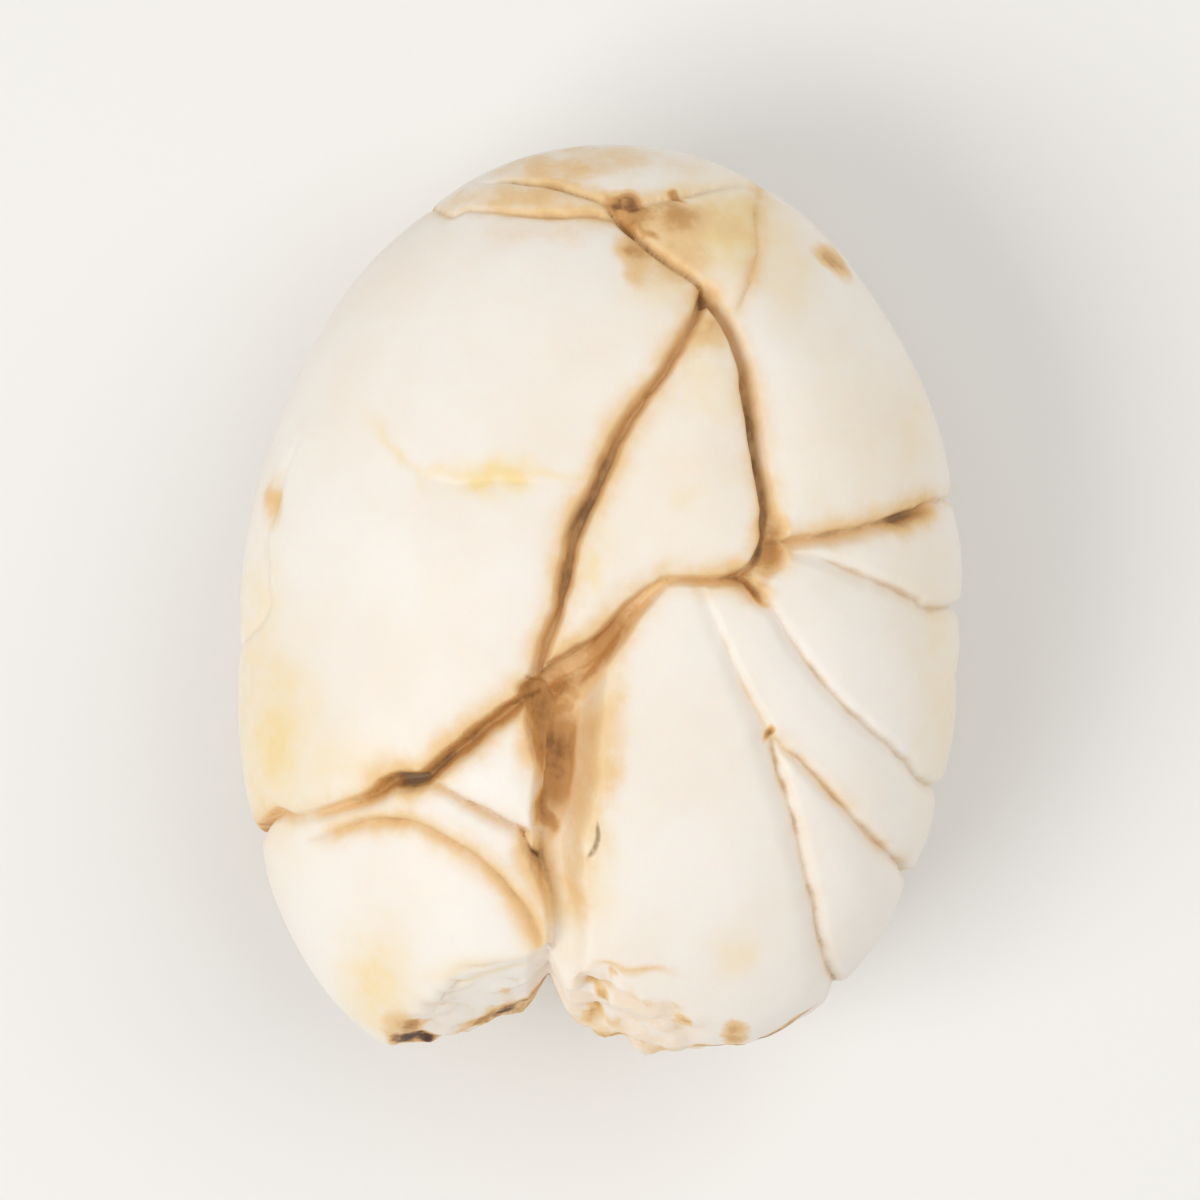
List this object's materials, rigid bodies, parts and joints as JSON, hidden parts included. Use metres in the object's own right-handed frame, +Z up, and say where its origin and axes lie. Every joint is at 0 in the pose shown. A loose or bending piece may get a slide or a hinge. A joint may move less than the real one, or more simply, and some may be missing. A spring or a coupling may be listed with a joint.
{
  "type": "macambo seed",
  "caption": "Peeled oval seed kernel with folded lobes, deep creases between them and a torn root end, lying on its broad side.",
  "frame": {"origin": "below the middle of the seed's box, at the height of its resting spot", "axes": "+Z up from the resting spot, +Y along the length towards the closed end, -Y towards the torn root end"},
  "size_m": [0.0226, 0.0282, 0.0152],
  "materials": {
    "seed_flesh": "matt cream seed flesh with tan creases"
  },
  "bodies": {
    "root": {"seed": "seed_flesh"}
  },
  "joints": []
}
